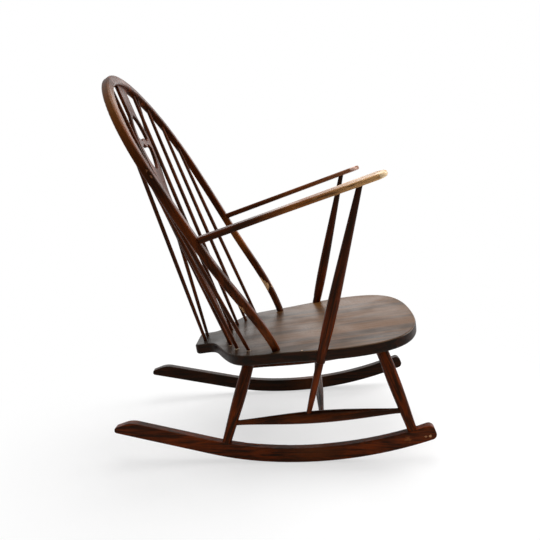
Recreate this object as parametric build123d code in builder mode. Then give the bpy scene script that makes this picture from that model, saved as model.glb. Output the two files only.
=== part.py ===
"""Hoop back rocking chair: bent hoop, pierced splat and round sticks over a plank seat on rockers.

Millimetres. +Z is up and the front of the chair is -Y. The origin is on the floor, midway
between the rockers, where they touch the floor when the chair stands still.
Most pieces are set out on the seat's own axes: x across, y back along the seat's top,
z up from the seat's top. Left and right are the sitter's.
"""
import os
from math import acos, asin, cos, degrees, radians, sin, sqrt, tan

from build123d import *

# ---- stance ----
SEAT_TILT = 5.33           # degrees the seat falls towards the back when the chair stands still

# ---- rockers ----
# Each sole is an arc under the seat, a tighter arc behind it, and a straight tail. Angles are in
# degrees back from the seat's normal through the front arc's centre.
ROCKER_FRONT_R = 1062.7
ROCKER_C_Y = -115.8        # centre of the front arc, on the seat's axes
ROCKER_C_Z = 765.9
ROCKER_BACK_R = 831.4
ROCKER_FRONT_ANG = -14.7   # front end
ROCKER_JOIN_ANG = 9.16     # the back arc takes over
ROCKER_TAIL_ANG = 19.32    # the straight tail starts
ROCKER_TAIL = 266.0        # length of the tail
ROCKER_SLOPE = 40.0        # length of the slope that ends its top edge
ROCKER_HEEL = 13.5         # height of the tail's end face
ROCKER_HEEL_R = 7.5
ROCKER_SLOPE_R = 60.0
ROCKER_NOSE_R = 14.0
ROCKER_DEPTH = 38.7
ROCKER_T = 25.0
ROCKER_EDGE_R = 4.0
ROCKER_MID_X = 222.5       # half the spacing where the chair touches the floor
ROCKER_TOE_IN = 2.91       # degrees each rocker closes towards the back

# ---- fits ----
FIT = 0.1                  # radial play of a glued round joint
END_GAP = 0.8              # space left for glue at the bottom of a socket

# ---- seat ----
SEAT_THK = 28.5
SEAT_HALF_W = 240.0
SEAT_WIDE_Y = -205.0       # where the seat is widest
SEAT_FRONT_Y = -394.0
SEAT_CORNER_Y = 41.0       # how square the front corners are: less makes them fuller
SEAT_BACK_HALF_W = 211.0   # half width where the sides start to close in
SEAT_BACK_Y = 156.0        # where the round back meets the tail
TAIL_HALF_W = 55.0
TAIL_Y = 226.0
TAIL_SPREAD = 31.0         # the tail's root is this much wider each side
TAIL_SIDE = 36.0           # length of the tail's straight sides
TAIL_CORNER_R = 13.0
SEAT_TOP_R = 5.0
SEAT_UNDER_R = 7.0

# ---- hoop ----
HOOP_FOOT_Y = -13.0
HOOP_RAKE = 23.4           # degrees back from square to the seat
HOOP_R = 281.0             # crown, to the middle of the bow
HOOP_SPRING = 528.0        # height of the crown's centre up the hoop
HOOP_FOOT_X = 183.0
HOOP_W = 27.0              # across the bow, seen from the front
HOOP_T = 21.5              # front to back
HOOP_EDGE_R = 6.0
HOOP_BOW_UP = 300.0        # below this height the legs bow forward
HOOP_BOW = 7.5             # by this much at a third of it
HOOP_THIN_UP = 150.0       # below this height they thin down to the round feet
HOOP_FOOT_D = 21.0
HOOP_TENON_D = 20.4
HOOP_SOCKET = 20.0
HOOP_FOOT_CLEAR = 7.0      # the round foot shows this far above the seat

# ---- back sticks ----
SPINDLE_D = 11.4
SPINDLE_END_D = 9.0
SPINDLE_SOCKET = 12.0
SPINDLE_COLLAR = 5.0       # the plain foot shows this far above its socket
SPINDLE_FEET = [(44.0, 130.0), (92.0, 117.0), (128.0, 95.0), (155.0, 62.0)]
SPINDLE_ANGLES = [70.0, 53.5, 38.0, 22.0]  # degrees round the crown where the heads go in
BRACE_FOOT = (21.0, 200.0)
BRACE_ANGLE = 64.5

# ---- splat ----
SPLAT_T = 9.0
SPLAT_FOOT_Y = 133.0
SPLAT_FOOT_HALF_W = 21.0
SPLAT_WAIST_HALF_W = 17.0
SPLAT_WAIST_DROP = 172.0   # the waist is this far below the middle of the oval
SPLAT_OVAL_DROP = 191.0    # the middle of the oval is this far below the middle of the bow
SPLAT_OVAL_HALF_W = 59.0
SPLAT_OVAL_HALF_H = 100.0
SPLAT_NECK_HALF_W = 30.0
SPLAT_EYE_HALF_W = 43.0
SPLAT_EYE_HALF_H = 76.0
SPLAT_FEATHER_ROOT = 4.0   # half width of the middle feather at the foot of the eye
SPLAT_TENON = 14.0
SPLAT_TONGUE = 10.0

# ---- arms ----
ARM_BACK_T = 16.0
ARM_TIP_T = 12.8
ARM_BACK_UP = 345.0        # height up the hoop where the arm meets it
ARM_SPREAD = 16.0          # the arm's tip is this much further out than its back end
ARM_TIP_Y = -330.0
ARM_TIP_Z = 408.5
ARM_CANT = 5.5             # degrees the arm's top leans outwards
ARM_BACK_HALF_W = 15.0
ARM_MID_HALF_W = 16.5
ARM_PAD_HALF_W = 25.0
ARM_EDGE_R = 5.0
SCREW_D = 4.5
SCREW_HEAD_D = 8.5
SCREW_HEAD_H = 3.0
SCREW_IN_ARM = 34.0
PLUG_D = 9.5
PLUG_H = 5.0

# ---- arm posts ----
POST_TOP_Y = -271.0
POST_TOP_INSET = 13.0      # the post's head is this far inside the arm's middle line
POST_BOTTOM_SHARE = 0.448  # how far forward along the side stretcher the post stands
POST_HEAD_D = 14.0
POST_TOP_D = 17.5
POST_MAX_D = 29.0
POST_SEAT_D = 24.5
POST_UNDER_D = 19.5
POST_FOOT_D = 13.0
POST_STEP = 2.5            # length of the shoulder under the seat
POST_IN_ARM = 9.0

# ---- legs ----
REAR_LEG_TOP = (143.0, 63.5)
REAR_LEG_FOOT_Y = 151.5
FRONT_LEG_TOP = (177.0, -278.0)
FRONT_LEG_FOOT_Y = -324.0
LEG_TOP_D = 25.0
LEG_MAX_D = 33.0
LEG_FOOT_D = 23.0
LEG_TENON_D = 20.0
LEG_IN_SEAT = 14.0
LEG_INSET = 2.0            # the legs stand this far inside the middle of the rockers
FOOT_TENON_D = 13.0
LEG_IN_ROCKER = 14.0

# ---- stretchers ----
REAR_STRETCHER_Z = -179.5
FRONT_STRETCHER_Z = -191.0
STRETCHER_MAX_D = 32.0
STRETCHER_END_D = 13.5
CROSS_SHARE = 0.53         # how far forward along the side stretchers the cross stretcher is
CROSS_MAX_D = 24.0


# ======== setting out ========
tilt = radians(SEAT_TILT)
SEAT_Y = -ROCKER_C_Y * cos(tilt) - ROCKER_C_Z * sin(tilt)
SEAT_Z = ROCKER_FRONT_R + ROCKER_C_Y * sin(tilt) - ROCKER_C_Z * cos(tilt)
BACK = Vector(0, cos(tilt), -sin(tilt))   # the seat's y
UP = Vector(0, sin(tilt), cos(tilt))      # the seat's z
ACROSS = Vector(1, 0, 0)


def on_seat(x, y, z=0.0):
    """A point given on the seat's axes."""
    return Vector(x, SEAT_Y, SEAT_Z) + BACK * y + UP * z


def along(start, end, share):
    return start + (end - start) * share


seat_top = Plane(origin=on_seat(0, 0), x_dir=ACROSS, z_dir=UP)
seat_under = seat_top.offset(-SEAT_THK)

rake = radians(HOOP_RAKE)
hoop_up = BACK * sin(rake) + UP * cos(rake)
hoop_front = ACROSS.cross(hoop_up)
hoop_plane = Plane(origin=on_seat(0, HOOP_FOOT_Y), x_dir=ACROSS, z_dir=hoop_front)


def on_hoop(x, up, out=0.0):
    """A point x across and up along the hoop's plane, out in front of it."""
    return hoop_plane.origin + ACROSS * x + hoop_up * up + hoop_front * out


def on_crown(angle, side):
    """A point on the crown's middle line, its angle in degrees above the springing line."""
    a = radians(angle)
    return on_hoop(side * HOOP_R * cos(a), HOOP_SPRING + HOOP_R * sin(a))


def head_length(foot, angle, side):
    """How much of a stick's head the bow can hide, longer where the two meet at a slant."""
    a = radians(angle)
    bow_run = hoop_up * cos(a) - ACROSS * (side * sin(a))
    stick_run = (on_crown(angle, side) - foot).normalized()
    slant = acos(abs(stick_run.dot(bow_run)))
    return (HOOP_W + SPINDLE_END_D) / 2 / sin(slant) + SPINDLE_END_D / 2


# each leg of the hoop is an arc that leaves the crown upright and closes in to the foot
HOOP_INSET = HOOP_R - HOOP_FOOT_X
HOOP_LEG_R = (HOOP_SPRING ** 2 + HOOP_INSET ** 2) / (2 * HOOP_INSET)


def hoop_leg_x(up):
    """Half the hoop's spread at a height below the springing line."""
    drop = HOOP_SPRING - up
    return HOOP_R - HOOP_LEG_R + sqrt(HOOP_LEG_R ** 2 - drop ** 2)


def hoop_bow(up):
    """How far the leg bows forward of the hoop's plane, none at either end of the bowed length."""
    u = up / HOOP_BOW_UP
    return 27 / 4 * HOOP_BOW * u * (1 - u) ** 2


def hoop_leg_dir(up, side):
    """Direction of the hoop's leg, going up."""
    lean = asin((HOOP_SPRING - up) / HOOP_LEG_R)
    u = up / HOOP_BOW_UP
    forward = 27 / 4 * HOOP_BOW / HOOP_BOW_UP * (1 - u) * (1 - 3 * u)
    return (ACROSS * (side * sin(lean)) + hoop_up * cos(lean) + hoop_front * forward).normalized()


# the splat stands on the seat and its tongue goes into the middle of the bow
splat_foot = on_seat(0, SPLAT_FOOT_Y)
splat_head = on_hoop(0, HOOP_SPRING + HOOP_R)
splat_up = (splat_head - splat_foot).normalized()
splat_length = (splat_head - splat_foot).length
splat_plane = Plane(origin=splat_foot, x_dir=ACROSS, z_dir=ACROSS.cross(splat_up))
oval_up = splat_length - SPLAT_OVAL_DROP
waist_up = oval_up - SPLAT_WAIST_DROP
tongue_up = splat_length - HOOP_W / 2 + SPLAT_TONGUE

toe = radians(ROCKER_TOE_IN)
arc_step = ROCKER_FRONT_R - ROCKER_BACK_R


def rocker_plane(side):
    """Middle plane of one rocker: x runs back, y up, from where it touches the floor."""
    run = Vector(-side * sin(toe), cos(toe), 0)
    return Plane(origin=(side * ROCKER_MID_X, 0, 0), x_dir=run, z_dir=run.cross(Vector(0, 0, 1)))


def rocker_front(angle, inset):
    """Point of the rocker's front arc, inset into the wood from the sole, on its middle plane."""
    a = radians(angle - SEAT_TILT)
    r = ROCKER_FRONT_R - inset
    return (r * sin(a), ROCKER_FRONT_R - r * cos(a))


def rocker_back(angle, inset):
    """The same on the back arc."""
    a = radians(angle - SEAT_TILT)
    join = radians(ROCKER_JOIN_ANG - SEAT_TILT)
    r = ROCKER_BACK_R - inset
    return (arc_step * sin(join) + r * sin(a), ROCKER_FRONT_R - arc_step * cos(join) - r * cos(a))


def rocker_tail(run, inset):
    """The same on the straight tail, run along it from its start."""
    a = radians(ROCKER_TAIL_ANG - SEAT_TILT)
    start_x, start_z = rocker_back(ROCKER_TAIL_ANG, inset)
    return (start_x + run * cos(a), start_z + run * sin(a))


def rocker_top(side, seat_y):
    """Where a line square to the seat at this y meets the middle of the rocker's top edge."""
    join = radians(ROCKER_JOIN_ANG)
    top_r = ROCKER_FRONT_R - ROCKER_DEPTH
    centre_y, centre_z = ROCKER_C_Y, ROCKER_C_Z
    if seat_y > ROCKER_C_Y + top_r * sin(join):
        top_r = ROCKER_BACK_R - ROCKER_DEPTH
        centre_y += arc_step * sin(join)
        centre_z -= arc_step * cos(join)
    p = on_seat(0, seat_y, centre_z - sqrt(top_r ** 2 - (seat_y - centre_y) ** 2))
    return Vector(side * (ROCKER_MID_X - LEG_INSET - p.Y * tan(toe)), p.Y, p.Z)


def leg_at(line, seat_z):
    """Point on a leg's axis at a height above the seat's top."""
    top_z, foot_z = ((end - seat_top.origin).dot(UP) for end in line)
    return along(line[0], line[1], (seat_z - top_z) / (foot_z - top_z))


# ======== shared shapes ========
def axis_plane(start, end):
    """Plane through a stick's axis, x along the stick."""
    run = end - start
    square = run.cross(ACROSS) if abs(run.normalized().X) < 0.9 else run.cross(Vector(0, 0, 1))
    return Plane(origin=start, x_dir=run, z_dir=square)


def turned(start, end, plain_d, head, tail, max_d, handles):
    """A turned stick, plain_d across for the lengths head and tail at its ends. Evenly spaced
    handles draw the swelling between them, each a share of the way from plain_d to max_d."""
    length = (end - start).length
    step = (length - head - tail) / (len(handles) + 1)
    with BuildPart() as stick:
        with BuildSketch(axis_plane(start, end)):
            with BuildLine():
                body = [(head, plain_d / 2)]
                for number, share in enumerate(handles, start=1):
                    body += [(head + step * number, (plain_d + (max_d - plain_d) * share) / 2)]
                body += [(length - tail, plain_d / 2)]
                Line((0, 0), (0, plain_d / 2))
                Line((0, plain_d / 2), body[0])
                Bezier(*body)
                Line(body[-1], (length, plain_d / 2))
                Line((length, plain_d / 2), (length, 0))
                Line((length, 0), (0, 0))
            make_face()
        revolve(axis=Axis(start, end - start))
    return stick.part


def bore(mouth, inward, radius, depth, run_out=30.0):
    """Cut a round socket into the part being built, from run_out before the mouth."""
    unit = inward.normalized()
    with Locations(Plane(origin=mouth - unit * run_out, z_dir=unit).location):
        Cylinder(
            radius + FIT,
            depth + END_GAP + run_out,
            align=(Align.CENTER, Align.CENTER, Align.MIN),
            mode=Mode.SUBTRACT,
        )


def peg(base, out, radius, length):
    """Add a plain round tenon to the part being built."""
    with Locations(Plane(origin=base, z_dir=out.normalized()).location):
        Cylinder(radius, length, align=(Align.CENTER, Align.CENTER, Align.MIN))


def rocker_outline(plane, grow=0.0):
    """Side view of a rocker. grow thickens it all round, for cutting pieces that stand on it."""
    sole = -grow
    top = ROCKER_DEPTH + grow
    front_mid = (ROCKER_FRONT_ANG + ROCKER_JOIN_ANG) / 2
    back_mid = (ROCKER_JOIN_ANG + ROCKER_TAIL_ANG) / 2
    nose = [rocker_front(ROCKER_FRONT_ANG, top), rocker_front(ROCKER_FRONT_ANG, sole)]
    heel = [rocker_tail(ROCKER_TAIL, sole), rocker_tail(ROCKER_TAIL, ROCKER_HEEL)]
    brow = rocker_tail(ROCKER_TAIL - ROCKER_SLOPE, top)
    with BuildSketch(plane) as outline:
        with BuildLine():
            for inset in (sole, top):
                front_end = rocker_front(ROCKER_FRONT_ANG, inset)
                join = rocker_front(ROCKER_JOIN_ANG, inset)
                tail_start = rocker_back(ROCKER_TAIL_ANG, inset)
                ThreePointArc(front_end, rocker_front(front_mid, inset), join)
                ThreePointArc(join, rocker_back(back_mid, inset), tail_start)
                Line(tail_start, heel[0] if inset == sole else brow)
            Line(*nose)
            Line(*heel)
            Line(heel[1], brow)
        make_face()
        for corners, radius in ((nose, ROCKER_NOSE_R), (heel, ROCKER_HEEL_R), ([brow], ROCKER_SLOPE_R)):
            fillet([outline.vertices().sort_by_distance(p)[0] for p in corners], radius)
    return outline.sketch


# ======== places where pieces meet ========
SIDES = [("right", -1), ("left", 1)]
arm_back_x = hoop_leg_x(ARM_BACK_UP)
spindle_feet = {}
spindle_heads = {}
brace_ends = {}
leg_lines = {}
stretcher_lines = {}
cross_ends = {}
post_lines = {}
arm_planes = {}
arm_lengths = {}

for name, side in SIDES:
    spindle_feet[name] = [on_seat(side * x, y) for x, y in SPINDLE_FEET]
    spindle_heads[name] = [on_crown(a, side) for a in SPINDLE_ANGLES]
    brace_ends[name] = (on_seat(side * BRACE_FOOT[0], BRACE_FOOT[1]), on_crown(BRACE_ANGLE, side))

    front_top = on_seat(side * FRONT_LEG_TOP[0], FRONT_LEG_TOP[1], -SEAT_THK)
    rear_top = on_seat(side * REAR_LEG_TOP[0], REAR_LEG_TOP[1], -SEAT_THK)
    front = (front_top, rocker_top(side, FRONT_LEG_FOOT_Y))
    rear = (rear_top, rocker_top(side, REAR_LEG_FOOT_Y))
    leg_lines[name] = {"front": front, "rear": rear}
    stretcher_lines[name] = (leg_at(rear, REAR_STRETCHER_Z), leg_at(front, FRONT_STRETCHER_Z))
    cross_ends[name] = along(*stretcher_lines[name], CROSS_SHARE)

    arm_back = on_hoop(side * arm_back_x, ARM_BACK_UP, HOOP_T / 2)
    arm_tip = on_seat(side * (arm_back_x + ARM_SPREAD), ARM_TIP_Y, ARM_TIP_Z)
    arm_run = (arm_tip - arm_back).normalized()
    level = arm_run.cross(Vector(0, 0, 1)).normalized()
    arm_normal = level.cross(arm_run).rotate(Axis((0, 0, 0), arm_run), -side * ARM_CANT)
    arm_planes[name] = Plane(origin=arm_back, x_dir=arm_run, z_dir=arm_normal)
    arm_lengths[name] = (arm_tip - arm_back).length

    # the post's axis runs from the arm's middle plane down to the side stretcher
    post_foot = along(*stretcher_lines[name], POST_BOTTOM_SHARE)
    to_post = (ARM_TIP_Y - POST_TOP_Y) / arm_run.dot(BACK)
    over_post = arm_tip - arm_run * to_post - ACROSS * (side * POST_TOP_INSET)
    drop = (post_foot - over_post).normalized()
    reach = (arm_back - over_post).dot(arm_normal) / drop.dot(arm_normal)
    post_lines[name] = (over_post + drop * reach, post_foot)


# ======== seat ========
with BuildPart() as seat:
    with BuildSketch(seat_top) as seat_outline:
        with BuildLine():
            flank = (SEAT_HALF_W, SEAT_WIDE_Y)
            waist = (SEAT_BACK_HALF_W, 0)
            root = (TAIL_HALF_W + TAIL_SPREAD, SEAT_BACK_Y)
            tail_start = (TAIL_HALF_W, TAIL_Y - TAIL_SIDE)
            tail_corner = (TAIL_HALF_W, TAIL_Y)
            Bezier(
                (0, SEAT_FRONT_Y),
                (SEAT_HALF_W * 0.7, SEAT_FRONT_Y),
                (SEAT_HALF_W, SEAT_FRONT_Y + SEAT_CORNER_Y),
                flank,
            )
            Bezier(
                flank,
                (SEAT_HALF_W, SEAT_WIDE_Y * 0.65),
                (SEAT_BACK_HALF_W - SEAT_WIDE_Y * 0.035, SEAT_WIDE_Y * 0.35),
                waist,
            )
            Bezier(
                waist,
                (SEAT_BACK_HALF_W - SEAT_BACK_Y * 0.064, SEAT_BACK_Y * 0.64),
                (root[0] + SEAT_HALF_W * 0.44, SEAT_BACK_Y - SEAT_HALF_W * 0.198),
                root,
            )
            Bezier(
                root,
                (root[0] - TAIL_SPREAD * 0.6, root[1] + TAIL_SPREAD * 0.27),
                (TAIL_HALF_W, tail_start[1] - TAIL_SPREAD * 0.5),
                tail_start,
            )
            Line(tail_start, tail_corner)
            Line(tail_corner, (0, TAIL_Y))
            mirror(about=Plane.YZ)
        make_face()
        tail_ends = seat_outline.vertices().group_by(Axis.Y)[-1].sort_by(Axis.X)
        fillet([tail_ends[0], tail_ends[-1]], TAIL_CORNER_R)
    extrude(amount=-SEAT_THK)
    seat_faces = seat.faces().sort_by(Axis((0, 0, 0), UP))
    fillet(seat_faces[-1].edges(), SEAT_TOP_R)
    seat_faces = seat.faces().sort_by(Axis((0, 0, 0), UP))
    fillet(seat_faces[0].edges(), SEAT_UNDER_R)
    for name, side in SIDES:
        hoop_foot = on_hoop(side * hoop_leg_x(0), 0)
        bore(hoop_foot, -hoop_leg_dir(0, side), HOOP_TENON_D / 2, HOOP_SOCKET)
        for foot, head in zip(spindle_feet[name], spindle_heads[name]):
            bore(foot, foot - head, SPINDLE_END_D / 2, SPINDLE_SOCKET)
        brace_foot, brace_head = brace_ends[name]
        bore(brace_foot, brace_foot - brace_head, SPINDLE_END_D / 2, SPINDLE_SOCKET)
        for top, foot in leg_lines[name].values():
            bore(top, top - foot, LEG_TENON_D / 2, LEG_IN_SEAT)
        # the post passes right through
        post_top, post_foot = post_lines[name]
        bore(post_foot, post_top - post_foot, POST_SEAT_D / 2, (post_top - post_foot).length, 0)
    with BuildSketch(splat_plane.offset(-SPLAT_T / 2 - FIT)):
        Rectangle(2 * (SPLAT_FOOT_HALF_W + FIT), 2 * (SPLAT_TENON + END_GAP))
    extrude(amount=SPLAT_T + 2 * FIT, mode=Mode.SUBTRACT)
seat.part.label = "seat"

# ======== hoop ========
with BuildPart() as hoop:
    for name, side in SIDES:
        with BuildSketch(Plane(on_hoop(side * HOOP_R, HOOP_SPRING), x_dir=ACROSS, z_dir=hoop_up)):
            RectangleRounded(HOOP_W, HOOP_T, HOOP_EDGE_R)
        if side > 0:
            revolve(axis=Axis(on_hoop(0, HOOP_SPRING), hoop_front), revolution_arc=180)
            with BuildSketch(Plane(on_hoop(side * HOOP_R, HOOP_SPRING), x_dir=ACROSS, z_dir=hoop_up)):
                RectangleRounded(HOOP_W, HOOP_T, HOOP_EDGE_R)
        leg_centre = on_hoop(side * (HOOP_R - HOOP_LEG_R), HOOP_SPRING)
        leg_arc = degrees(asin((HOOP_SPRING - HOOP_BOW_UP) / HOOP_LEG_R))
        revolve(axis=Axis(leg_centre, hoop_front * -side), revolution_arc=leg_arc)
        # the lower leg bows forward and thins down to a round foot
        bowed = HOOP_BOW_UP - HOOP_FOOT_CLEAR
        for share in (1.0, 0.7, 0.42, 0.2):
            up = HOOP_FOOT_CLEAR + bowed * share
            thin = max(0.0, (HOOP_THIN_UP - up) / (HOOP_THIN_UP - HOOP_FOOT_CLEAR))
            run = hoop_leg_dir(up, side)
            centre = on_hoop(side * hoop_leg_x(up), up, hoop_bow(up))
            width = HOOP_W + (HOOP_FOOT_D - HOOP_W) * thin
            depth = HOOP_T + (HOOP_FOOT_D - HOOP_T) * thin
            edge_r = HOOP_EDGE_R + (HOOP_FOOT_D / 2 * 0.98 - HOOP_EDGE_R) * thin
            with BuildSketch(Plane(centre, x_dir=run.cross(hoop_front), z_dir=run)):
                RectangleRounded(width, depth, edge_r)
        foot_run = hoop_leg_dir(0, side)
        foot_end = on_hoop(side * hoop_leg_x(0), 0) + foot_run * HOOP_FOOT_CLEAR
        with BuildSketch(Plane(foot_end, x_dir=foot_run.cross(hoop_front), z_dir=foot_run)):
            RectangleRounded(HOOP_FOOT_D, HOOP_FOOT_D, HOOP_FOOT_D / 2 * 0.98)
        loft()
        peg(foot_end, -foot_run, HOOP_TENON_D / 2, HOOP_SOCKET + HOOP_FOOT_CLEAR)
    for name, side in SIDES:
        for foot, head, angle in zip(spindle_feet[name], spindle_heads[name], SPINDLE_ANGLES):
            bore(head, head - foot, SPINDLE_END_D / 2, 0, head_length(foot, angle, side))
        brace_foot, brace_head = brace_ends[name]
        bore(brace_head, brace_head - brace_foot, SPINDLE_END_D / 2, 0)
        screw_run = arm_planes[name].x_dir
        bow_face = arm_planes[name].origin
        head_at = bow_face - screw_run * (HOOP_T - PLUG_H - SCREW_HEAD_H)
        bore(bow_face, screw_run, SCREW_D / 2, 0, 2 * HOOP_T)
        bore(head_at, -screw_run, PLUG_D / 2, 2 * HOOP_T, 0)
    with BuildSketch(splat_plane.offset(-SPLAT_T / 2 - FIT)):
        with Locations((0, tongue_up + END_GAP)):
            mortice = 2 * (SPLAT_NECK_HALF_W + FIT)
            Rectangle(mortice, 2 * HOOP_W, align=(Align.CENTER, Align.MAX))
    extrude(amount=SPLAT_T + 2 * FIT, mode=Mode.SUBTRACT)
hoop.part.label = "hoop"

# ======== splat ========
with BuildPart() as splat:
    with BuildSketch(splat_plane.offset(-SPLAT_T / 2)):
        with BuildLine():
            waist = (SPLAT_WAIST_HALF_W, waist_up)
            neck_up = oval_up + SPLAT_OVAL_HALF_H * 1.18
            Line((0, -SPLAT_TENON), (SPLAT_FOOT_HALF_W, -SPLAT_TENON))
            Line((SPLAT_FOOT_HALF_W, -SPLAT_TENON), (SPLAT_FOOT_HALF_W, 0))
            Line((SPLAT_FOOT_HALF_W, 0), waist)
            Spline(
                waist,
                (SPLAT_OVAL_HALF_W * 0.33, oval_up - SPLAT_OVAL_HALF_H * 1.33),
                (SPLAT_OVAL_HALF_W * 0.51, oval_up - SPLAT_OVAL_HALF_H * 1.02),
                (SPLAT_OVAL_HALF_W * 0.75, oval_up - SPLAT_OVAL_HALF_H * 0.72),
                (SPLAT_OVAL_HALF_W, oval_up),
                (SPLAT_OVAL_HALF_W * 0.97, oval_up + SPLAT_OVAL_HALF_H * 0.38),
                (SPLAT_OVAL_HALF_W * 0.76, oval_up + SPLAT_OVAL_HALF_H * 0.68),
                (SPLAT_OVAL_HALF_W * 0.56, oval_up + SPLAT_OVAL_HALF_H * 0.9),
                (SPLAT_NECK_HALF_W, neck_up),
                tangents=[(0, 1), (0, 1)],
            )
            Line((SPLAT_NECK_HALF_W, neck_up), (SPLAT_NECK_HALF_W, tongue_up))
            Line((SPLAT_NECK_HALF_W, tongue_up), (0, tongue_up))
            mirror(about=Plane.YZ)
        make_face()
        eye_w = SPLAT_EYE_HALF_W
        eye_h = SPLAT_EYE_HALF_H
        with Locations((0, oval_up)):
            Ellipse(eye_w, eye_h, mode=Mode.SUBTRACT)
        # three feathers rise from the foot of the eye, bound by a small band
        root_up = oval_up - eye_h * 1.04
        tip = (0, oval_up + eye_h * 0.55)
        for side in (-1, 1):
            with BuildLine():
                foot = (side * SPLAT_FEATHER_ROOT, root_up)
                ThreePointArc(foot, (side * eye_w * 0.24, oval_up - eye_h * 0.05), tip)
                Line(tip, (0, root_up))
                Line((0, root_up), foot)
            make_face()
            side_tip = (side * eye_w * 0.97, oval_up + eye_h * 0.3)
            crotch = (0, root_up + eye_h * 0.3)
            with BuildLine():
                ThreePointArc((0, root_up), (side * eye_w * 0.62, oval_up - eye_h * 0.36), side_tip)
                ThreePointArc(side_tip, (side * eye_w * 0.42, oval_up - eye_h * 0.22), crotch)
                Line(crotch, (0, root_up))
            make_face()
        with Locations((0, oval_up - eye_h * 0.5)):
            RectangleRounded(eye_w * 0.62, eye_h * 0.11, eye_h * 0.05)
    extrude(amount=SPLAT_T)
splat.part.label = "splat"


# ======== spindles and braces ========
def back_stick(foot, head, in_bow):
    """A thin stick from its socket in the seat to its socket in the bow."""
    start = foot - (head - foot).normalized() * SPINDLE_SOCKET
    plain_foot = SPINDLE_SOCKET + SPINDLE_COLLAR
    return turned(start, head, SPINDLE_END_D, plain_foot, in_bow, SPINDLE_D, (1.45, 0.73, 1.45))


back_sticks = []
for name, side in SIDES:
    ends = zip(spindle_feet[name], spindle_heads[name], SPINDLE_ANGLES)
    for number, (foot, head, angle) in enumerate(ends, start=1):
        stick = back_stick(foot, head, head_length(foot, angle, side))
        stick.label = f"spindle_{name}_{number}"
        back_sticks.append(stick)
    foot, head = brace_ends[name]
    stick = back_stick(foot, head, head_length(foot, BRACE_ANGLE, side))
    stick.label = f"brace_{name}"
    back_sticks.append(stick)

# ======== arms ========
arms = []
for name, side in SIDES:
    plane = arm_planes[name]
    length = arm_lengths[name]
    side_plane = Plane(origin=plane.origin, x_dir=plane.x_dir, z_dir=plane.y_dir)
    pad = length - ARM_PAD_HALF_W
    ends_pull = 5 * (ARM_BACK_HALF_W + ARM_PAD_HALF_W)
    mid_pull = (16 * ARM_MID_HALF_W - ends_pull) / 6     # brings the middle of the curve to its width
    post_top, post_foot = post_lines[name]
    with BuildPart() as arm:
        with BuildSketch(plane):
            with BuildLine():
                Bezier(
                    (-HOOP_T, ARM_BACK_HALF_W),
                    (pad * 0.3, ARM_BACK_HALF_W),
                    (pad * 0.55, mid_pull),
                    (pad * 0.8, ARM_PAD_HALF_W),
                    (pad, ARM_PAD_HALF_W),
                )
                mirror(about=Plane.XZ)
                Line((-HOOP_T, ARM_BACK_HALF_W), (-HOOP_T, -ARM_BACK_HALF_W))
                ThreePointArc((pad, ARM_PAD_HALF_W), (length, 0), (pad, -ARM_PAD_HALF_W))
            make_face()
        extrude(amount=ARM_BACK_T, both=True)
        # it thins from the hoop to the tip
        with BuildSketch(side_plane):
            with BuildLine():
                Polyline(
                    (-HOOP_T, -ARM_BACK_T / 2),
                    (length, -ARM_TIP_T / 2),
                    (length, ARM_TIP_T / 2),
                    (-HOOP_T, ARM_BACK_T / 2),
                    close=True,
                )
            make_face()
        extrude(amount=2 * ARM_PAD_HALF_W, both=True, mode=Mode.INTERSECT)
        for end in (0, -1):
            flat = arm.faces().sort_by(Axis(plane.origin, plane.z_dir))[end]
            fillet(flat.edges(), ARM_EDGE_R)
        with BuildSketch(hoop_plane.offset(HOOP_T / 2 + FIT)):
            with Locations((side * arm_back_x, ARM_BACK_UP)):
                Rectangle(6 * ARM_BACK_HALF_W, 6 * ARM_BACK_HALF_W)
        extrude(amount=-2 * HOOP_T, mode=Mode.SUBTRACT)
        bore(plane.origin, plane.x_dir, SCREW_D / 2, SCREW_IN_ARM)
        bore(post_top, post_top - post_foot, POST_HEAD_D / 2, POST_IN_ARM - ARM_TIP_T / 2)
    arm.part.label = f"arm_{name}"
    arms.append(arm.part)

# screws run through the bow into the ends of the arms, under wooden plugs
head_back = HOOP_T - PLUG_H
with BuildPart() as arm_screws:
    for name, side in SIDES:
        run = arm_planes[name].x_dir
        head_at = arm_planes[name].origin - run * (head_back - SCREW_HEAD_H)
        peg(head_at, -run, SCREW_HEAD_D / 2, SCREW_HEAD_H)
        peg(head_at, run, SCREW_D / 2, head_back - SCREW_HEAD_H + SCREW_IN_ARM)
arm_screws.part.label = "arm_screws"

with BuildPart() as arm_plugs:
    for name, side in SIDES:
        run = arm_planes[name].x_dir
        peg(arm_planes[name].origin - run * (head_back + FIT), -run, PLUG_D / 2, 2 * PLUG_H)
    # trimmed flush with the back of the bow
    with BuildSketch(hoop_plane.offset(-HOOP_T / 2)):
        with Locations((0, ARM_BACK_UP)):
            Rectangle(4 * HOOP_R, 4 * PLUG_D)
    extrude(amount=-4 * PLUG_H, mode=Mode.SUBTRACT)
arm_plugs.part.label = "arm_plugs"

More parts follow.
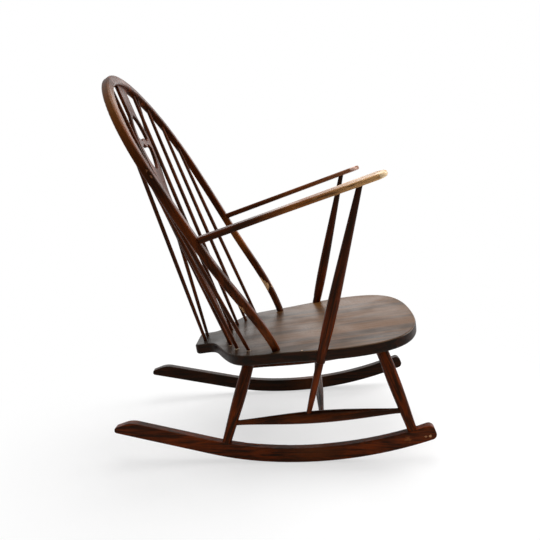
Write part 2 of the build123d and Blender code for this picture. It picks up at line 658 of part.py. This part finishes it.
# ======== arm posts ========
posts = []
socket_floor = STRETCHER_MAX_D * 0.15     # the posts stop this far short of the stretchers' middle
for name, side in SIDES:
    post_top, post_foot = post_lines[name]
    up = (post_top - post_foot).normalized()
    lift = up.dot(UP)
    below_seat = (seat_top.origin - post_foot).dot(UP)
    step = (below_seat - SEAT_THK) / lift - POST_SEAT_D * 0.25
    clear = below_seat / lift + POST_SEAT_D * 0.3
    head = (post_top - post_foot).length + POST_IN_ARM - ARM_TIP_T / 2
    shoulder = head - ARM_BACK_T * 1.2
    upper = shoulder - clear
    with BuildPart() as post:
        with BuildSketch(axis_plane(post_foot, post_top)):
            with BuildLine():
                tenon_end = (socket_floor + STRETCHER_MAX_D / 2, POST_FOOT_D / 2)
                Line((socket_floor, 0), (socket_floor, POST_FOOT_D / 2))
                Line((socket_floor, POST_FOOT_D / 2), tenon_end)
                Bezier(tenon_end, (step * 0.5, POST_UNDER_D * 0.48), (step, POST_UNDER_D / 2))
                Line((step, POST_UNDER_D / 2), (step + POST_STEP, POST_SEAT_D / 2))
                Line((step + POST_STEP, POST_SEAT_D / 2), (clear, POST_SEAT_D / 2))
                Bezier(
                    (clear, POST_SEAT_D / 2),
                    (clear + upper * 0.25, POST_MAX_D * 0.63),
                    (clear + upper * 0.5, POST_MAX_D * 0.4),
                    (clear + upper * 0.75, POST_TOP_D * 0.6),
                    (shoulder, POST_HEAD_D / 2),
                )
                Line((shoulder, POST_HEAD_D / 2), (head, POST_HEAD_D / 2))
                Line((head, POST_HEAD_D / 2), (head, 0))
                Line((head, 0), (socket_floor, 0))
            make_face()
        revolve(axis=Axis(post_foot, up))
    post.part.label = f"arm_post_{name}"
    posts.append(post.part)

# ======== legs ========
legs = []
spare = LEG_MAX_D * 0.5        # the turning runs this far past both ends before it is trimmed
for name, side in SIDES:
    for place, (top, foot) in leg_lines[name].items():
        up = (top - foot).normalized()
        low = foot - up * spare
        high = top + up * spare
        length = (high - low).length
        rear_join, front_join = stretcher_lines[name]
        join, far_join = (rear_join, front_join) if place == "rear" else (front_join, rear_join)
        with BuildPart() as leg:
            with BuildSketch(axis_plane(low, high)):
                with BuildLine():
                    Line((0, 0), (0, LEG_FOOT_D / 2))
                    Bezier(
                        (0, LEG_FOOT_D / 2),
                        (length * 0.25, LEG_MAX_D * 0.38),
                        (length * 0.5, LEG_MAX_D * 0.58),
                        (length * 0.75, LEG_MAX_D * 0.53),
                        (length, LEG_TOP_D / 2),
                    )
                    Line((length, LEG_TOP_D / 2), (length, 0))
                    Line((length, 0), (0, 0))
                make_face()
            revolve(axis=Axis(low, up))
            with BuildSketch(seat_under.offset(-FIT)):
                with Locations(seat_under.to_local_coords(top)):
                    Rectangle(3 * LEG_MAX_D, 3 * LEG_MAX_D)
            extrude(amount=2 * SEAT_THK, mode=Mode.SUBTRACT)
            shoe = rocker_outline(rocker_plane(side), FIT)
            extrude(shoe, amount=LEG_MAX_D, both=True, mode=Mode.SUBTRACT)
            peg(top - up * spare, up, LEG_TENON_D / 2, spare + LEG_IN_SEAT)
            peg(foot + up * spare, -up, FOOT_TENON_D / 2, spare + LEG_IN_ROCKER)
            bore(join, join - far_join, STRETCHER_END_D / 2, 0)
        leg.part.label = f"leg_{place}_{name}"
        legs.append(leg.part)

# ======== stretchers ========
stretchers = []
side_swelling = (0.35, 2.04, 0.58)
side_tenon = LEG_MAX_D * 0.7
for name, side in SIDES:
    rear_end, front_end = stretcher_lines[name]
    across = cross_ends["left" if name == "right" else "right"] - cross_ends[name]
    post_top, post_foot = post_lines[name]
    post_up = (post_top - post_foot).normalized()
    with BuildPart() as stretcher:
        stick_sizes = (STRETCHER_END_D, side_tenon, side_tenon, STRETCHER_MAX_D)
        add(turned(rear_end, front_end, *stick_sizes, side_swelling))
        bore(cross_ends[name], -across, STRETCHER_END_D / 2, 0)
        bore(post_foot + post_up * socket_floor, -post_up, POST_FOOT_D / 2, 0)
    stretcher.part.label = f"side_stretcher_{name}"
    stretchers.append(stretcher.part)

cross_tenon = STRETCHER_MAX_D * 0.75
cross_sizes = (STRETCHER_END_D, cross_tenon, cross_tenon, CROSS_MAX_D)
cross_stretcher = turned(cross_ends["right"], cross_ends["left"], *cross_sizes, (0.11, 2.5, 0.11))
cross_stretcher.label = "cross_stretcher"
stretchers.append(cross_stretcher)

# ======== rockers ========
rockers = []
for name, side in SIDES:
    plane = rocker_plane(side)
    with BuildPart() as rocker:
        extrude(rocker_outline(plane), amount=ROCKER_T / 2, both=True)
        cheeks = rocker.faces().sort_by(Axis(plane.origin, plane.z_dir))
        fillet(cheeks[0].edges() + cheeks[-1].edges(), ROCKER_EDGE_R)
        for top, foot in leg_lines[name].values():
            bore(foot, foot - top, FOOT_TENON_D / 2, LEG_IN_ROCKER)
    rocker.part.label = f"rocker_{name}"
    rockers.append(rocker.part)

# ======== files ========
pieces = [seat.part, hoop.part, splat.part, arm_screws.part, arm_plugs.part]
pieces += back_sticks + arms + posts + legs + stretchers + rockers
os.makedirs("parts", exist_ok=True)
for piece in pieces:
    export_step(piece, f"parts/{piece.label}.step")
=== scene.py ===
"""Hoop back rocking chair: dark stained wood, worn at the arms, on a plain white floor."""

from math import asin, cos, pi, sin

import bmesh
import bpy
from mathutils import Matrix, Vector


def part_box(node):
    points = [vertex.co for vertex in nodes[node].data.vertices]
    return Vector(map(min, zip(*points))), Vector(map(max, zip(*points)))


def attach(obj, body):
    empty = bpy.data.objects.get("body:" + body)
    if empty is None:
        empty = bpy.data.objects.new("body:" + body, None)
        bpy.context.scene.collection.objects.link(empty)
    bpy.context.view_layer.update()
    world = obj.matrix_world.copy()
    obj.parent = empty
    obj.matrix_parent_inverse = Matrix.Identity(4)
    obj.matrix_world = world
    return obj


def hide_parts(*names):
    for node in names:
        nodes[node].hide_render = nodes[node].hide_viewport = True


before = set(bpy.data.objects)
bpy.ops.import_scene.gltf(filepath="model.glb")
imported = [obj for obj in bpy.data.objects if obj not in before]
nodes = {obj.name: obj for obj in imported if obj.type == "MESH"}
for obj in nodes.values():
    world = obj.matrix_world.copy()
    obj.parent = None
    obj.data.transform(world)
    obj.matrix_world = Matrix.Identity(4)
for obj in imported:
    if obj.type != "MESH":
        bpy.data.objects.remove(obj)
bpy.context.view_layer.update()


scene = bpy.context.scene
SIDES = (("right", -1), ("left", 1))


# ---------- node helpers ----------
class Graph:
    """The node tree of a material or a world, with short ways to add nodes."""

    def __init__(self, owner, output):
        owner.use_nodes = True
        self.owner = owner
        self.tree = owner.node_tree
        self.tree.nodes.clear()
        self.output = self.add(output)

    def add(self, kind, **settings):
        node = self.tree.nodes.new(kind)
        for key, value in settings.items():
            setattr(node, key, value)
        return node

    def link(self, value, socket):
        if isinstance(value, bpy.types.NodeSocket):
            self.tree.links.new(value, socket)
        else:
            socket.default_value = value

    def mapping(self, vector, scale=(1, 1, 1), turn=(0, 0, 0), move=(0, 0, 0)):
        node = self.add("ShaderNodeMapping")
        self.link(vector, node.inputs["Vector"])
        node.inputs["Scale"].default_value = scale
        node.inputs["Rotation"].default_value = turn
        node.inputs["Location"].default_value = move
        return node.outputs["Vector"]

    def noise(self, vector, scale, detail=4.0, rough=0.55, distortion=0.0):
        node = self.add("ShaderNodeTexNoise")
        self.link(vector, node.inputs["Vector"])
        node.inputs["Scale"].default_value = scale
        node.inputs["Detail"].default_value = detail
        node.inputs["Roughness"].default_value = rough
        node.inputs["Distortion"].default_value = distortion
        return node.outputs["Fac"]

    def spread(self, value, low, high, to_low=0.0, to_high=1.0, curve="SMOOTHSTEP"):
        node = self.add("ShaderNodeMapRange", interpolation_type=curve)
        self.link(value, node.inputs["Value"])
        keys = ("From Min", "From Max", "To Min", "To Max")
        for key, number in zip(keys, (low, high, to_low, to_high)):
            node.inputs[key].default_value = number
        return node.outputs["Result"]

    def math(self, operation, a, b=0.0):
        node = self.add("ShaderNodeMath", operation=operation)
        self.link(a, node.inputs[0])
        self.link(b, node.inputs[1])
        return node.outputs[0]

    def mix(self, share, a, b):
        node = self.add("ShaderNodeMix", data_type="RGBA")
        self.link(share, node.inputs["Factor"])
        self.link(a, node.inputs["A"])
        self.link(b, node.inputs["B"])
        return node.outputs["Result"]

    def mix_shaders(self, share, a, b):
        node = self.add("ShaderNodeMixShader")
        for value, socket in zip((share, a.outputs[0], b.outputs[0]), node.inputs):
            self.link(value, socket)
        return node.outputs[0]

    def distance(self, vector, point):
        node = self.add("ShaderNodeVectorMath", operation="DISTANCE")
        self.link(vector, node.inputs[0])
        node.inputs[1].default_value = point
        return node.outputs["Value"]

    def axis(self, vector, name):
        node = self.add("ShaderNodeSeparateXYZ")
        self.link(vector, node.inputs[0])
        return node.outputs[name]

    def place(self, kind="Object"):
        return self.add("ShaderNodeTexCoord").outputs[kind]

    def seen(self):
        """1 for what the camera sees, straight, mirrored or through glass."""
        rays = self.add("ShaderNodeLightPath").outputs
        indirect = self.math("MAXIMUM", rays["Is Glossy Ray"], rays["Is Transmission Ray"])
        return self.math("MAXIMUM", rays["Is Camera Ray"], indirect)


def material_graph(name):
    return Graph(bpy.data.materials.new(name), "ShaderNodeOutputMaterial")


def rgb(red, green, blue):
    """A linear colour from one given in display values of 0 to 255."""
    out = []
    for value in (red, green, blue):
        v = value / 255
        out.append(v / 12.92 if v <= 0.04045 else ((v + 0.055) / 1.055) ** 2.4)
    return (*out, 1.0)


def scaled(colour, factor):
    return tuple(c * factor for c in colour[:3]) + (1.0,)


# ---------- wood ----------
DARK = rgb(40, 13, 0)
WARM = rgb(86, 35, 4)
RED = rgb(110, 42, 4)

# noises drawn out along the grain: stretch, scale, detail, roughness, distortion
FINE = (0.035, 520, 5, 0.62, 0.0)
STREAK = (0.06, 130, 4, 0.6, 0.4)
FIGURE = (0.12, 34, 3, 0.5, 1.2)
PORE = (0.05, 1500, 2, 0.5, 0.0)

BOARD_W = 0.094          # the seat plank's glued boards
BOARD_START = 0.037
SOFT_RUB = 0.04          # a rub with a larger radius than this fades out softly
SHEEN_TINT = (1.0, 0.99, 0.82, 1.0)
BUMP_STRENGTH = 0.2
BUMP_HEIGHT = 0.00008


def drawn_out(g, grain, layer):
    stretch, *settings = layer
    return g.noise(g.mapping(grain, scale=(stretch, 1, 1)), *settings)


def glued_boards(g, where, grain, figure, colour, bright, share):
    """Boards and lengthwise bands of lighter tone across the seat."""
    across = g.math("ADD", g.axis(where, "X"), g.spread(figure, 0.3, 0.7, -0.004, 0.004))
    board = g.add("ShaderNodeTexWhiteNoise", noise_dimensions="1D")
    count = g.math("DIVIDE", g.math("ADD", across, BOARD_START), BOARD_W)
    g.link(g.math("FLOOR", count), board.inputs["W"])
    colour = g.mix(g.math("MULTIPLY", board.outputs["Value"], share), colour, bright)
    plank = g.noise(g.mapping(grain, scale=(0.02, 1, 0.02)), 23, 3, 0.55)
    return g.mix(g.spread(plank, 0.46, 0.64, 0.0, share), colour, bright)


def worn_length(g, where, grain, turn, streak, colour, along_worn):
    """A length rubbed down to paler wood, with streaks and flecks left in it."""
    start, end, tip_at, rubbed, line, tip_tone = along_worn
    place = g.axis(g.mapping(where, turn=turn), "X")
    ragged = g.math("ADD", place, g.spread(streak, 0.2, 0.8, -0.06, 0.06))
    tan = g.mix(g.spread(ragged, end, tip_at), rubbed, tip_tone)
    tan = g.mix(g.spread(streak, 0.46, 0.66, 0.0, 0.85), tan, line)
    flecks = g.noise(g.mapping(grain, scale=(0.16, 1, 1)), 620, 3, 0.7)
    tan = g.mix(g.spread(flecks, 0.5, 0.7, 0.0, 0.45), tan, line)
    pale = g.noise(g.mapping(grain, scale=(0.14, 1, 1), move=(3, 1, 2)), 420, 3, 0.7)
    tan = g.mix(g.spread(pale, 0.56, 0.72, 0.0, 0.4), tan, tip_tone)
    return g.mix(g.spread(ragged, start, end), colour, tan)


def rub_or_glint(g, where, grain, figure, speckle, colour, spot):
    """A rubbed spot or a painted highlight: a large one fades out softly, and a small one has a
    broken edge.
    """
    point, radius, rubbed, density = spot
    away = g.distance(where, point)
    if radius > SOFT_RUB:
        near = g.spread(away, radius, 0.0)
        share = g.spread(figure, 0.3, 0.7, density, density * 0.6)
        return g.mix(g.math("MULTIPLY", near, share), colour, rubbed)
    wander = g.noise(g.mapping(grain, scale=(0.5, 1, 1)), 0.9 / radius, 3, 0.6)
    gap = g.math("ADD", away, g.spread(wander, 0.3, 0.7, -0.55 * radius, 0.75 * radius))
    near = g.spread(gap, radius, radius * 0.35)
    broken = g.math("ADD", near, g.spread(speckle, 0.3, 0.7, -0.4, 0.4))
    share = g.math("MULTIPLY", g.spread(broken, 0.45, 0.62), near)
    return g.mix(g.math("MULTIPLY", share, density), colour, rubbed)


def wood(name, run, seed, dark, warm, bright_share=0.5, gloss=0.29, specular=0.07, bands=0.0,
         worn=(), along_worn=None, edge=None, fade=None):
    """Stained wood with its grain along run.

    worn holds (point, radius, colour, density) of rubbed spots and of painted highlights, and
    along_worn is (start, end, tip, colour, streak colour, tip colour) of a rubbed length, as
    distances along the grain. edge holds the two darker tones of painted shade on upright
    faces, and fade is (from, to, share) of painted shade that darkens one end along y.
    """
    g = material_graph(name)
    where = g.place()
    turn = Vector(run).normalized().rotation_difference(Vector((1, 0, 0))).to_euler()
    grain = g.mapping(where, turn=turn, move=(seed * 1.37, seed * 0.61, seed * 0.83))
    fine, streak, figure, pore = (drawn_out(g, grain, n) for n in (FINE, STREAK, FIGURE, PORE))
    patch = g.noise(grain, 9, 3, 0.5, 0.3)
    speckle = g.noise(grain, 260, 3, 0.7)
    pores = g.spread(pore, 0.60, 0.70)
    deep = scaled(dark, 0.45)
    bright = scaled(warm, 1.5)

    colour = g.mix(g.spread(streak, 0.35, 0.68), dark, warm)
    colour = g.mix(g.spread(patch, 0.42, 0.68, 0.0, 0.55), colour, deep)
    colour = g.mix(g.spread(figure, 0.5, 0.72, 0.0, bright_share), colour, bright)
    if bands:
        colour = glued_boards(g, where, grain, figure, colour, bright, bands)
    # painted shade: one end along y is darkened towards deep, for the shade and weaker sheen there
    if fade:
        start, end, share = fade
        colour = g.mix(g.spread(g.axis(where, "Y"), start, end, 0.0, share), colour, deep)
    # painted shade: upright faces, such as the seat's sides, are darkened to the two edge tones,
    # where the light hardly falls
    if edge:
        normal = g.add("ShaderNodeNewGeometry").outputs["Normal"]
        upright = g.spread(g.math("ABSOLUTE", g.axis(normal, "Z")), 0.9, 0.55)
        colour = g.mix(upright, colour, g.mix(g.spread(streak, 0.4, 0.65), *edge))
    if along_worn:
        colour = worn_length(g, where, grain, turn, streak, colour, along_worn)
    for spot in worn:
        colour = rub_or_glint(g, where, grain, figure, speckle, colour, spot)
    colour = g.mix(g.math("MULTIPLY", pores, 0.5), colour, deep)

    shine = g.spread(fine, 0.3, 0.75, gloss - 0.06, gloss + 0.12)
    shine = g.math("ADD", shine, g.spread(patch, 0.35, 0.65, -0.05, 0.07))

    height = g.math("ADD", g.math("MULTIPLY", fine, 0.6), g.math("MULTIPLY", pores, -0.7))
    height = g.math("ADD", height, g.math("MULTIPLY", streak, 0.8))
    bump = g.add("ShaderNodeBump")
    bump.inputs["Strength"].default_value = BUMP_STRENGTH
    bump.inputs["Distance"].default_value = BUMP_HEIGHT
    g.link(height, bump.inputs["Height"])

    shader = g.add("ShaderNodeBsdfPrincipled")
    g.link(colour, shader.inputs["Base Color"])
    g.link(shine, shader.inputs["Roughness"])
    g.link(bump.outputs["Normal"], shader.inputs["Normal"])
    shader.inputs["Specular IOR Level"].default_value = specular
    shader.inputs["Specular Tint"].default_value = SHEEN_TINT
    g.link(shader.outputs[0], g.output.inputs["Surface"])
    return g.owner


def dress(node, material):
    piece = nodes[node]
    piece.data.materials.clear()
    piece.data.materials.append(material)


def run_of(node, lean):
    """The direction from one end of a leaning piece to the other, from its box's corners."""
    low, high = (Vector(corner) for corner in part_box(node))
    size = high - low
    return Vector([length * sign for length, sign in zip(size, lean)]).normalized()


def dress_stick(node, lean, seed, *tones, **finish):
    dress(node, wood(f"{node}_wood", run_of(node, lean), seed, *tones, **finish))


# ---------- the splat, with its eye cut in two by a scalloped tie ----------
SPLAT_T = 0.009
EDGE_ROUND = 0.0018
EYE_HALF_W = 0.043
EYE_HALF_H = 0.076
TIE = 0.005              # half the tie's height where it is narrowest
TIE_SCALLOP = 0.008      # how much more it is at its middle and its ends
ARC_STEPS = 48
SCALLOP_STEPS = 32
SAME_WAY = 0.99          # the least cosine between the normals of faces of one side
WELD = 1e-6
ACROSS = Vector((1, 0, 0))


def splat_axes():
    """The normal of the splat's front, and the way up in its plane."""
    rough = Vector((0, -0.95, 0.32)).normalized()
    faces = nodes["splat"].data.polygons
    front = max(faces, key=lambda face: face.area * (face.normal.dot(rough) > SAME_WAY))
    normal = front.normal.copy()
    up = normal.cross(ACROSS).normalized()
    if up.z < 0:
        up.negate()
    return normal, up


def front_rim(node, normal):
    """The outer edge of a flat piece's front, as a closed loop of points."""
    shape = bmesh.new()
    shape.from_mesh(nodes[node].data)
    bmesh.ops.remove_doubles(shape, verts=shape.verts, dist=WELD)
    front = {face for face in shape.faces if face.normal.dot(normal) > SAME_WAY}
    beside = {}
    for edge in shape.edges:
        if sum(face in front for face in edge.link_faces) == 1:
            a, b = edge.verts
            beside.setdefault(a, []).append(b)
            beside.setdefault(b, []).append(a)
    loops = []
    left = dict.fromkeys(beside)  # keeps the mesh's own order, so that each run gives the same loop
    while left:
        here = next(iter(left))
        loop = []
        while here:
            del left[here]
            loop.append(here)
            here = next((vert for vert in beside[here] if vert in left), None)
        loops.append([vert.co.copy() for vert in loop])
    shape.free()
    return max(loops, key=lambda loop: max(p.z for p in loop) - min(p.z for p in loop))


def opening(sign, centre):
    """Half of the eye, above or below the tie."""
    start = asin((TIE + TIE_SCALLOP) / EYE_HALF_H)
    arc = [start + (pi - 2 * start) * step / ARC_STEPS for step in range(ARC_STEPS + 1)]
    points = [(EYE_HALF_W * cos(a), sign * EYE_HALF_H * sin(a)) for a in arc]
    across = EYE_HALF_W * cos(start)
    for step in range(1, SCALLOP_STEPS):
        x = -across + 2 * across * step / SCALLOP_STEPS
        points.append((x, sign * (TIE + TIE_SCALLOP * cos(pi * x / across) ** 2)))
    return [(x, centre + y) for x, y in points]


def board_mesh(outlines):
    """A flat board with rounded edges from its outline and its openings."""
    flat = bpy.data.curves.new("splat_board", "CURVE")
    flat.dimensions = "2D"
    flat.fill_mode = "BOTH"
    flat.extrude = SPLAT_T / 2 - EDGE_ROUND
    flat.bevel_depth = EDGE_ROUND
    flat.bevel_resolution = 3
    flat.offset = -EDGE_ROUND
    for points in outlines:
        spline = flat.splines.new("POLY")
        spline.points.add(len(points) - 1)
        for number, (x, y) in enumerate(points):
            spline.points[number].co = (x, y, 0, 1)
        spline.use_cyclic_u = True
    board = bpy.data.objects.new("splat_curve", flat)
    scene.collection.objects.link(board)
    bpy.context.view_layer.update()
    depsgraph = bpy.context.evaluated_depsgraph_get()
    mesh = bpy.data.meshes.new_from_object(board.evaluated_get(depsgraph))
    bpy.data.objects.remove(board)
    return mesh


def close_seams(mesh):
    shape = bmesh.new()
    shape.from_mesh(mesh)
    bmesh.ops.remove_doubles(shape, verts=shape.verts, dist=WELD)
    bmesh.ops.recalc_face_normals(shape, faces=shape.faces)
    shape.to_mesh(mesh)
    shape.free()


normal, up = splat_axes()
rim = front_rim("splat", normal)
foot = min(p.dot(up) for p in rim)
outline = [(p.x, p.dot(up) - foot) for p in rim]
eye_up = max(outline, key=lambda p: p[0])[1]
mesh = board_mesh((outline, opening(1, eye_up), opening(-1, eye_up)))
middle = sum(p.dot(normal) for p in rim) / len(rim) - SPLAT_T / 2
place = Matrix((ACROSS, up, normal)).transposed().to_4x4()
place.translation = up * foot + normal * middle
mesh.transform(place)
close_seams(mesh)
pierced = bpy.data.objects.new("pierced_splat", mesh)
scene.collection.objects.link(pierced)
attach(pierced, "root")
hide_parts("splat")
splat_wood = wood("splat_wood", (0, 0.4, 1), 3, DARK, WARM, 0.4, 0.34)
dress("splat", splat_wood)
mesh.materials.append(splat_wood)

# ---------- seat ----------
specks_and_foot_glints = [((-0.2141, -0.0342, 0.2967), 0.004, rgb(230, 190, 150), 1.0)]
# the spots round the stick feet are painted highlights: pale glints where the sticks meet the seat
for x, y in ((44, 130), (92, 117), (128, 95), (155, 62)):  # round the stick feet, in mm on the seat
    foot_at = (-x / 1000 - 0.006, 0.0442 + y / 1000, 0.2894 - y / 10700)
    specks_and_foot_glints.append((foot_at, 0.008, rgb(170, 150, 126), 0.6))
# the seat's upright faces are darkened to its edge tones and its rear is darkened along y: both are
# painted shade, for the shade and weaker sheen there
seat_wood = wood(
    "seat_wood", (0, 1, -0.09), 1, rgb(34, 18, 6), rgb(74, 47, 21), 0.5, 0.36, specular=0.10,
    bands=0.9, worn=specks_and_foot_glints, edge=(rgb(16, 3, 0), rgb(40, 12, 1)), fade=(-0.12, 0.2, 0.9),
)
dress("seat", seat_wood)

# ---------- hoop ----------
rubs = [
    # golden edge by the crown
    ((-0.222, 0.372, 0.920), 0.15, rgb(118, 70, 10), 0.7),
    ((-0.25, 0.33, 0.86), 0.14, rgb(112, 58, 18), 0.6),
    # nicks
    ((-0.294, 0.286, 0.765), 0.004, rgb(140, 92, 62), 0.8),
    ((-0.294, 0.278, 0.750), 0.004, rgb(150, 100, 68), 0.8),
    # far leg, with its bare patch
    ((0.2445, 0.1650, 0.5300), 0.10, rgb(150, 84, 34), 0.7),
    ((0.2120, 0.0800, 0.3700), 0.026, rgb(236, 190, 140), 1.0),
    # near leg
    ((-0.2250, 0.1120, 0.4200), 0.020, rgb(196, 150, 104), 0.9),
    ((-0.2000, 0.0600, 0.3400), 0.060, rgb(112, 56, 22), 0.6),
]
dress("hoop", wood("hoop_wood", (0, 0.4, 1), 2, DARK, WARM, 0.4, 0.31, specular=0.05, worn=rubs))

# ---------- small pieces and the cross stretcher ----------
dress("arm_screws", wood("screw_metal", (1, 0, 0), 4, rgb(60, 54, 48), rgb(96, 88, 78)))
dress("arm_plugs", wood("plug_wood", (1, 0, 0), 5, rgb(44, 18, 8), rgb(74, 34, 14)))
dress("cross_stretcher", wood("cross_wood", (1, 0, 0), 6, DARK, WARM))

# ---------- the pieces of each side ----------
# distances back from the arm's tip where its wear starts, is full and turns pale, its tones, and
# its rubbed spots
ARM_WEAR = {
    "right": (
        (0.34, 0.20, 0.02),
        (rgb(132, 76, 30), rgb(70, 28, 6), rgb(214, 166, 110)),
        [
            ((-0.2996, -0.238, 0.7288), 0.022, rgb(250, 222, 180), 0.8),
            ((-0.3037, -0.03, 0.66), 0.05, rgb(140, 84, 40), 0.6),
        ],
    ),
    "left": (
        (0.36, 0.22, 0.02),
        (rgb(116, 60, 24), rgb(70, 26, 8), rgb(132, 84, 56)),
        [((0.262, -0.231, 0.724), 0.014, rgb(226, 188, 172), 0.9)],
    ),
}
# the left rocker has the same wood in darker tones: painted shade, for the far rocker that the light
# hardly reaches
ROCKER_TONES_AND_SHADE = {"right": (DARK, RED), "left": (rgb(22, 6, 0), rgb(52, 19, 2))}


def dress_arm(name, side, seed):
    node = f"arm_{name}"
    run = run_of(node, (side * 0.3, -1, 1))
    low, high = (Vector(corner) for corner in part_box(node))
    reach = run.dot(Vector((low.x if side < 0 else high.x, low.y, high.z)))
    back, tones, spots = ARM_WEAR[name]
    along_worn = (*(reach - distance for distance in back), *tones)
    finish = wood(f"{node}_wood", run, seed, DARK, WARM, 0.5, 0.34, worn=spots, along_worn=along_worn)
    dress(node, finish)


def dress_rocker(name, side, seed):
    chips = [
        ((side * 0.2524, -0.3425, 0.0730), 0.005, rgb(180, 134, 96), 1.0),
        ((side * 0.2518, -0.3304, 0.0690), 0.004, rgb(150, 104, 70), 1.0),
        ((side * 0.2490, -0.2900, 0.0600), 0.012, rgb(120, 66, 30), 0.8),
        ((side * 0.2350, -0.0500, 0.0250), 0.10, rgb(104, 50, 18), 0.6),
    ]
    tones = ROCKER_TONES_AND_SHADE[name]
    dress(f"rocker_{name}", wood(f"rocker_{name}_wood", (0, 1, 0.03), seed, *tones, 0.4, worn=chips))


for number, (name, side) in enumerate(SIDES):
    seed = 10 + 20 * number
    for count in (1, 2, 3, 4):
        dress_stick(f"spindle_{name}_{count}", (side, 1, 1), seed + count, DARK, WARM)
    dress_stick(f"brace_{name}", (side, 1, 1), seed + 5, DARK, WARM)
    dress_arm(name, side, seed + 6)
    # the post is darkened towards its upper, forward end along y: painted shade
    dress_stick(f"arm_post_{name}", (side, -1, 1), seed + 7, DARK, RED, fade=(-0.08, -0.2, 0.9))
    for place, lean in (("front", -1), ("rear", 1)):
        dress_stick(f"leg_{place}_{name}", (side, lean, -1), seed + 8, DARK, RED)
    stretcher = f"side_stretcher_{name}"
    dress(stretcher, wood(f"{stretcher}_wood", (0, 1, -0.08), seed + 9, DARK, WARM))
    dress_rocker(name, side, seed + 10)

# ---------- floor ----------
FLOOR_SIZE = 30
FLOOR_Z = -0.0004        # just under the soles
SHADOW_NEAR = 0.40       # the glow is weakest inside this radius, where the shadow shows
SHADOW_FAR = 1.0         # and full outside this one, where the floor is white
SHADOW_GLOW = 0.6

bpy.ops.mesh.primitive_plane_add(size=FLOOR_SIZE, location=(0, 0, FLOOR_Z))
floor = bpy.context.object
floor.name = "floor"
g = material_graph("floor_white")
where = g.place()
matte = g.add("ShaderNodeBsdfPrincipled")
uneven = g.spread(g.noise(where, 6, 3), 0.3, 0.7)
g.link(g.mix(uneven, (0.93, 0.93, 0.93, 1), (0.95, 0.95, 0.95, 1)), matte.inputs["Base Color"])
matte.inputs["Roughness"].default_value = 0.9
matte.inputs["Specular IOR Level"].default_value = 0.0
glow = g.add("ShaderNodeEmission")
far = g.spread(g.distance(where, (0, 0.05, 0)), SHADOW_NEAR, SHADOW_FAR, SHADOW_GLOW, 1.0)
ground = g.mix_shaders(g.math("MULTIPLY", far, g.seen()), matte, glow)
g.link(ground, g.output.inputs["Surface"])
floor.data.materials.append(g.owner)

# ---------- light ----------
# the room is darker behind the camera, at -x, than behind the chair
ROOM_DARK = (-0.7, 0.10)
ROOM_LIGHT = (0.9, 0.42)
SOFTBOXES = (
    # name, place, aim, size, power
    ("front_softbox", (0.9, -2.6, 1.9), (0, 0, 0.5), (2.0, 1.6), 75),
    ("top_softbox", (0.3, -0.2, 3.0), (0, 0, 0.3), (2.4, 2.4), 72),
    ("far_softbox", (3.0, 0.4, 1.3), (0, 0, 0.5), (2.6, 1.6), 20),
    ("rim_softbox", (2.3, -1.7, 1.1), (0, 0.1, 0.5), (0.9, 1.8), 6),
)


def background(g, strength):
    node = g.add("ShaderNodeBackground")
    node.inputs["Color"].default_value = (1, 1, 1, 1)
    g.link(strength, node.inputs["Strength"])
    return node


g = Graph(bpy.data.worlds.new("studio"), "ShaderNodeOutputWorld")
scene.world = g.owner
(low, dim), (high, lit) = ROOM_DARK, ROOM_LIGHT
level = g.spread(g.axis(g.place("Generated"), "X"), low, high, dim, lit, curve="LINEAR")
studio = g.mix_shaders(g.seen(), background(g, level), background(g, 1.0))
g.link(studio, g.output.inputs["Surface"])

for name, place, aim, size, power in SOFTBOXES:
    lamp = bpy.data.lights.new(name, "AREA")
    lamp.shape = "RECTANGLE"
    lamp.size, lamp.size_y = size
    lamp.energy = power
    piece = bpy.data.objects.new(name, lamp)
    scene.collection.objects.link(piece)
    piece.location = place
    piece.rotation_euler = (Vector(aim) - Vector(place)).to_track_quat("-Z", "Y").to_euler()

# ---------- camera, as fitted to the photograph ----------
CAMERA_AT = (-1.5239, -0.0495, 0.7742)
CAMERA_RIGHT = (0.04768, -0.99663, -0.06677)
CAMERA_VIEW = (0.97805, 0.06016, -0.19951)
SENSOR_MM = 36.0
LENS_MM = 36.586

camera = bpy.data.cameras.new("camera")
camera.sensor_fit = "HORIZONTAL"
camera.sensor_width = SENSOR_MM
camera.lens = LENS_MM
eye = bpy.data.objects.new("camera", camera)
scene.collection.objects.link(eye)
view = Vector(CAMERA_VIEW).normalized()
upward = Vector(CAMERA_RIGHT).normalized().cross(view).normalized()
rightward = view.cross(upward).normalized()
turn = Matrix((rightward, upward, -view)).transposed().to_4x4()
eye.matrix_world = Matrix.Translation(CAMERA_AT) @ turn
scene.camera = eye
scene.view_settings.view_transform = "Standard"
